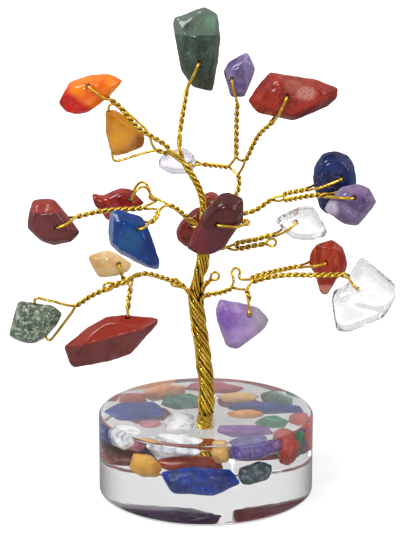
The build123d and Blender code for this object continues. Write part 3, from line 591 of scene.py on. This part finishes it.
def left_lapis(n):
    side, low = ((-4.5, -2.1, 0.0), (-0.86, -0.5, 0.0)), ((-3.3, -2.1, -3.8), (-0.66, -1.0, -1.0))
    rim = (-0.549, 0.0, -0.836)
    return dict(cuts=[side, low], material=lapis(
        n, rgb("053F8E"), rgb("033070"), 0.05, shift=9.0, fleck_size=0.9, zones=[
            (spot(n, (-1.6, -2.0, -2.2), 1.0, 2.0), rgb("1E5A80"), 0.6),
            # painted highlights: the pale bands along the left edge, the lower-left edge and the tip stand for
            # light caught on the bevels
            (past(n, (-4.5, 0.0, 0.0), (-1.0, 0.0, 0.05), 0.3, 0.5, 0.8), rgb("8C9CBC"), 0.55),
            (past(n, (-3.2, 0.0, -3.8), rim, 0.4, 1.3, 0.8), rgb("98A4B8"), 0.6),
            (past(n, (3.0, 0.0, -6.9), (0.1, 0.0, -1.0), 0.8, 0.9, 0.9), rgb("8088A8"), 0.6)]))


def top_aventurine(n):
    ridge, up = (0.0, -2.3, 4.8), (0.05, -0.949, 0.316)
    return dict(cuts=[(ridge, up)], rounds=20, material=aventurine(
        n, rgb("44594A"), rgb("2C3B32"), rgb("6E8470"), 1.0, zones=[
            (past(n, (2.2, 0.0, 0.0), (1.0, 0.0, -0.1), 2.0, 0.6), rgb("4E5A48"), 0.6),
            (spot(n, (0.9, -2.2, -1.0), 0.7, 1.6, (1, 1, 0.35)), rgb("1E2620"), 0.6),
            # painted light: the upward top facet is drawn lighter
            (past(n, (0.0, 0.0, 4.9), (0.0, 0.0, 1.0), 0.4, 0.4), rgb("647668"), 0.85),
            (spot(n, (2.2, -1.5, 7.3), 0.5, 1.3), rgb("6FA080"), 0.6),
            (spot(n, (-2.0, -1.5, 6.6), 0.5, 1.0), rgb("3A453F"), 0.7)]))


def front_jasper(n):
    ridge = (0.0, -2.2, -0.2)
    return dict(
        cuts=[(ridge, (0.03, -0.97, -0.25)), ((-1.5, -2.2, 2.0), (-0.45, -0.89, 0.1))],
        material=jasper(n, rgb("4A181C"), rgb("58201F"), rgb("642826"), 15.0, zones=[
            # painted light: the lower facet and the left facet are drawn lighter than the front
            (past(n, (0.0, 0.0, -0.4), (0.1, 0.0, -1.0), 0.5, 0.3), rgb("66303A"), 0.75),
            (past(n, (-2.4, 0.0, -1.0), (-1.0, 0.0, -0.2), 0.7, 0.6), rgb("7C2A2C"), 0.7)], grain=0.04))


# The looks of the hanging chips. Places in cuts and masks are about the hole's centre, in mm.
stones = {
    "green_aventurine_top": top_aventurine,
    "amethyst_top": lambda n: dict(
        cuts=[((1.6, -1.8, 0.0), (0.434, -0.901, 0.0))],
        material=amethyst(n, rgb("8E7EA6"), rgb("5A4880"), [
            (spot(n, (1.6, -1.8, 1.2), 0.7, 1.2), rgb("3E2E62"), 0.7),
            # painted light: the facet right of the ridge is drawn a lighter lilac
            (past(n, (2.4, 0.0, 0.0), (1.0, 0.0, 0.1), 0.4), rgb("9A88B8"), 0.6)], 2.0, cracks=0.5)),
    "red_jasper_right": lambda n: dict(
        cuts=[((0.8, -2.4, -3.4), (0.40, -0.75, -0.85))],
        material=jasper(n, rgb("7C170C"), rgb("A22816"), rgb("BC3C26"), 3.0, grain=0.4, zones=[
            (spot(n, (3.3, -2.3, 0.6), 0.7, 1.0, (0.7, 1, 1), 1.6), rgb("D89286"), 0.75),
            (spot(n, (1.0, -2.3, 2.0), 0.6, 1.2, (0.8, 1, 1), 1.0), rgb("B86A58"), 0.6),
            # painted shade: the downward lower right bevel is drawn darker
            (past(n, (3.4, 0.0, -3.1), (0.42, -0.25, -0.9), 0.5, 0.5), rgb("5A2224"), 0.8)])),
    "carnelian_upper_left": lambda n: dict(
        cuts=[((-2.0, -2.1, -2.0), (-0.45, -0.85, -0.3))],
        material=carnelian(n, rgb("FF8A0A"), rgb("F26808"), 4.0, zones=[
            (past(n, (-1.6, 0.0, -2.4), (-0.6, 0.0, -0.8), 1.4, 1.2), rgb("D01404"), 1.0),
            (past(n, (-4.6, 0.0, -2.6), (-1.0, 0.0, -0.2), 0.8, 0.6), rgb("8E1A0C"), 0.7)])),
    "yellow_aventurine": lambda n: dict(rounds=22, material=citrine(
        n, rgb("F6AE26"), rgb("EC9C1A"), 5.0, cloud=0.10, zones=[
            # painted shade: the colour goes darker and browner towards the lower right
            (past(n, (3.2, 0.0, -1.2), (0.6, 0.0, -0.6), 3.4, 1.0), rgb("C4823A"), 0.9),
            (spot(n, (5.2, -1.4, -1.6), 0.6, 1.4), rgb("96541E"), 0.8)])),
    "clear_quartz_back": lambda n: dict(rounds=26, dents=0.05, material=quartz(n, 0.25, "EEEAF6", 6.0)),
    "red_jasper_left": lambda n: dict(
        cuts=[((0.0, -2.3, 2.7), (0.0, -0.83, 0.56)), ((2.4, -2.3, -1.0), (0.5, -0.84, -0.2))],
        material=jasper(n, rgb("65292A"), rgb("713230"), rgb("7A3A34"), 7.0, grain=0.05, zones=[
            # painted light: the top facet is drawn a lighter red
            (past(n, (0.0, 0.0, 2.75), (-0.03, 0.0, 1.0), 0.35, 0.3), rgb("9E382A"), 0.85),
            (past(n, (2.0, 0.0, 0.4), (0.8, 0.0, 0.5), 0.6, 0.5), rgb("84302A"), 0.7),
            (past(n, (0.0, 0.0, -2.4), (0.2, 0.0, -1.0), 0.9, 0.6), rgb("6A3436"), 0.7),
            # painted shade: a dark band along the lower right edge
            (past(n, (3.2, 0.0, -1.8), (1.0, 0.0, -0.4), 0.5, 1.2, 0.6), rgb("3C3436"), 0.8)])),
    "carnelian_back_left": lambda n: dict(material=carnelian(
        n, rgb("A92A1A"), rgb("7E1A16"), 8.0, streak=0.35, streak_tone="D85A40")),
    "lapis_left": left_lapis,
    "citrine_left": lambda n: dict(rounds=22, material=citrine(
        n, rgb("FFE0A4"), rgb("F4BE78"), 10.0, cloud=0.4, pits=0.1)),
    "moss_agate_left": lambda n: dict(
        cuts=[((0.0, -2.3, -2.9), (0.1, -0.75, -0.65))], material=moss(n, 11.0)),
    "red_jasper_hanging": hanging_jasper,
    "pink_jasper_back": lambda n: dict(material=jasper(
        n, rgb("8C2C24"), rgb("A8463A"), rgb("BE6250"), 13.0)),
    "carnelian_back_centre": lambda n: dict(material=carnelian(
        n, rgb("8E2418"), rgb("6E1A14"), 14.0, streak=0.2, streak_tone="B04838")),
    "red_jasper_front": front_jasper,
    "lapis_right": lambda n: dict(rounds=24, material=lapis(
        n, rgb("182A66"), rgb("0E1640"), 0.55, shift=16.0, fleck_size=0.5, fleck_tone="6F80B8")),
    "amethyst_right": lambda n: dict(rounds=22, material=amethyst(
        n, rgb("8E7A9C"), rgb("6A5680"), [
            (spot(n, (1.0, -2.0, -0.9), 0.9, 1.2, (1, 1, 0.7)), rgb("4A2A66"), 0.75),
            (spot(n, (-4.0, -1.4, -2.2), 0.8, 1.2), rgb("D8D0DE"), 0.7),
            (spot(n, (0.8, -2.0, 1.2), 0.7, 1.2), rgb("8C6AA2"), 0.6)], 17.0)),
    "clear_quartz_middle": lambda n: dict(rounds=26, dents=0.06, material=quartz(n, 0.25, "F8F6FA", 18.0)),
    "carnelian_right": lambda n: dict(
        cuts=[((0.5, -2.0, 0.0), (-0.40, -0.91, 0.1)), ((0.7, -2.0, 0.0), (0.34, -0.94, 0.1))],
        material=carnelian(n, rgb("B83A1A"), rgb("8A2010"), 19.0, streak=0.35, stretch=(2.2, 1, 0.45),
                           streak_tone="E07A50", zones=[
                               (past(n, (0.0, 0.0, -4.4), (0.0, 0.0, -1.0), 0.8), rgb("D08A7A"), 0.8)])),
    "clear_quartz_right": lambda n: dict(rounds=26, dents=0.05, material=quartz(n, 0.12, "FFFFFF", 20.0)),
    "amethyst_hanging": lambda n: dict(rounds=22, material=amethyst(
        n, rgb("B79CC8"), rgb("9A7CB8"), [
            (spot(n, (-4.2, -2.0, -0.6), 1.3, 1.8), rgb("7E4EA8"), 0.8),
            (past(n, (0.6, 0.0, -0.8), (1.0, 0.0, 0.35), 1.6, 0.8), rgb("A79CAC"), 0.8)], 21.0, cracks=0.15)),
}
slots = {part["node"]: part["material_slot"] for part in frame["record"]["subparts"]}
for number, (name, look) in enumerate(stones.items()):
    stone(name, slot=slots[name], seed=number * 1.7, **look(name))

# The stones in the resin: look, colours and the shift of each pattern.
cast_looks = {
    "lapis_left": lambda n: lapis(n, rgb("12399A"), rgb("0A2468"), 0.25, shift=41.0),
    "lapis_right": lambda n: lapis(n, rgb("1A3A92"), rgb("102466"), 0.25, shift=42.0),
    "lapis_front": lambda n: lapis(n, rgb("0A3CA4"), rgb("052268"), 0.4, shift=43.0, fleck_size=0.6,
                                   fleck_tone="6A8AD8"),
    "aventurine_left": lambda n: aventurine(n, rgb("2E7A60"), rgb("1E5040"), rgb("5E9A80"), 44.0),
    "aventurine_right": lambda n: aventurine(n, rgb("2E8A66"), rgb("206048"), rgb("62B090"), 45.0),
    "moss_agate_back": lambda n: aventurine(n, rgb("4A7A66"), rgb("35584C"), rgb("7AA08C"), 46.0),
    "moss_agate_front": lambda n: moss(n, 47.0, ("26323A", "3A4A50"), "66767C"),
    "jasper_left": lambda n: jasper(n, rgb("9A3222"), rgb("B44A34"), rgb("D08468"), 48.0, grain=0.5,
                                    grain_tone="E8B098"),
    "jasper_back": lambda n: jasper(n, rgb("A03444"), rgb("B04650"), rgb("C05A5C"), 49.0),
    "jasper_right": lambda n: jasper(n, rgb("A83A34"), rgb("B84A40"), rgb("C85A4C"), 50.0),
    "jasper_rim": lambda n: jasper(n, rgb("8E2C1E"), rgb("A83826"), rgb("B84836"), 51.0, grain=0.1),
    "jasper_front": lambda n: jasper(n, rgb("9E3A20"), rgb("B24A2C"), rgb("C45E3E"), 52.0, grain=0.3),
    "jasper_middle": lambda n: jasper(n, rgb("80323A"), rgb("904048"), rgb("A04E50"), 53.0),
    "amethyst_front": lambda n: amethyst(n, rgb("8A5AA0"), rgb("663C84"), (), 54.0),
    "amethyst_rim": lambda n: amethyst(n, rgb("6C5A9A"), rgb("4A3A80"), (), 55.0),
    "amethyst_back": lambda n: amethyst(n, rgb("6A4A78"), rgb("4C3058"), (), 56.0),
    "carnelian_back": lambda n: carnelian(n, rgb("DC9460"), rgb("C87A4C"), 57.0, streak_tone="F0C09A"),
    "carnelian_right": lambda n: carnelian(n, rgb("E09A54"), rgb("D08440"), 58.0, streak_tone="F0C09A"),
    "carnelian_left": lambda n: carnelian(n, rgb("A8604C"), rgb("80443C"), 59.0),
    "citrine_back": lambda n: citrine(n, rgb("E2B878"), rgb("D8A45C"), 60.0),
    "citrine_front": lambda n: citrine(n, rgb("E0AC48"), rgb("CC9236"), 61.0),
    "citrine_rim": lambda n: citrine(n, rgb("D8AC60"), rgb("C89444"), 62.0),
    "rose_quartz": lambda n: citrine(n, rgb("C47888"), rgb("A85A70"), 63.0),
    "quartz_front": lambda n: quartz_crumbly(n, 64.0, "8A8494"),
    "quartz_middle": lambda n: quartz_crumbly(n, 65.0),
    "quartz_rim": lambda n: quartz_crumbly(n, 66.0),
}
# The stones are drawn fuller than their cavities allow, and less so where they would meet.
fuller = dict.fromkeys(("jasper_rim", "citrine_rim", "citrine_back", "citrine_front", "moss_agate_front",
                        "rose_quartz"), 1.03)
fuller["quartz_middle"] = 1.3
for number, (key, look) in enumerate(cast_looks.items()):
    name = "cast_" + key
    crumbly = key.startswith("quartz")
    stone(name, look(name), slots[name], voxel=0.28, after=6, swell=fuller.get(key, 1.18),
          dents=0.25 if crumbly else 0.15, dent_size=1.8 if crumbly else 2.4, seed=50 + number * 2.3)


# ---------------------------------------------------------------- resin puck
def resin():
    """Clear resin that lets shadow and bounced light straight through."""
    s = Shade("clear_resin")
    normal = s.bump(s.noise(6.0, detail=2.0), 0.12, 0.25)
    glass = s.principled(Base_Color=(0.985, 0.99, 0.99), Roughness=0.0, IOR=1.5, Transmission_Weight=1.0,
                         Normal=normal)
    rays = s.tree.nodes.new("ShaderNodeLightPath").outputs
    clear = s.node("ShaderNodeBsdfTransparent", Color=(0.95, 0.955, 0.96)).outputs["BSDF"]
    share = s.math("MAXIMUM", rays["Is Shadow Ray"], rays["Is Diffuse Ray"])
    return s.finish(s.blend(share, glass, clear))


def resin_puck():
    """A lathe form: flat foot and top, worn rims, and a ring beside each rim that keeps the flats flat."""
    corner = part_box("resin_base")[1]
    radius, height, worn = corner.x, corner.z, 0.0006
    hold = 0.00004
    bends = np.radians(np.linspace(0, 90, 9))
    profile = [(radius * 0.5, 0.0), (radius - worn - hold, 0.0)]
    profile += [(radius - worn + worn * math.sin(a), worn - worn * math.cos(a)) for a in bends]
    profile += [(radius, worn + hold), (radius, height * 0.5), (radius, height - worn - hold)]
    profile += [(radius - worn + worn * math.cos(a), height - worn + worn * math.sin(a)) for a in bends]
    profile += [(radius - worn - hold, height), (radius * 0.5, height)]
    turns = 160
    angles = [2 * math.pi * k / turns for k in range(turns)]
    verts = [(r * math.cos(a), r * math.sin(a), z) for r, z in profile for a in angles]
    faces = []
    for first in range(0, (len(profile) - 1) * turns, turns):
        for k in range(turns):
            k2 = (k + 1) % turns
            faces.append((first + k, first + k2, first + turns + k2, first + turns + k))
    faces.append(tuple(reversed(range(turns))))
    faces.append(tuple(range(len(verts) - turns, len(verts))))
    mesh = bpy.data.meshes.new("resin_puck")
    mesh.from_pydata(verts, [], faces)
    mesh.polygons.foreach_set("use_smooth", [True] * len(mesh.polygons))
    obj = bpy.data.objects.new("resin_puck", mesh)
    scene.collection.objects.link(obj)
    mesh.materials.append(resin())
    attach(obj, "tree")
    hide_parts("resin_base")


resin_puck()
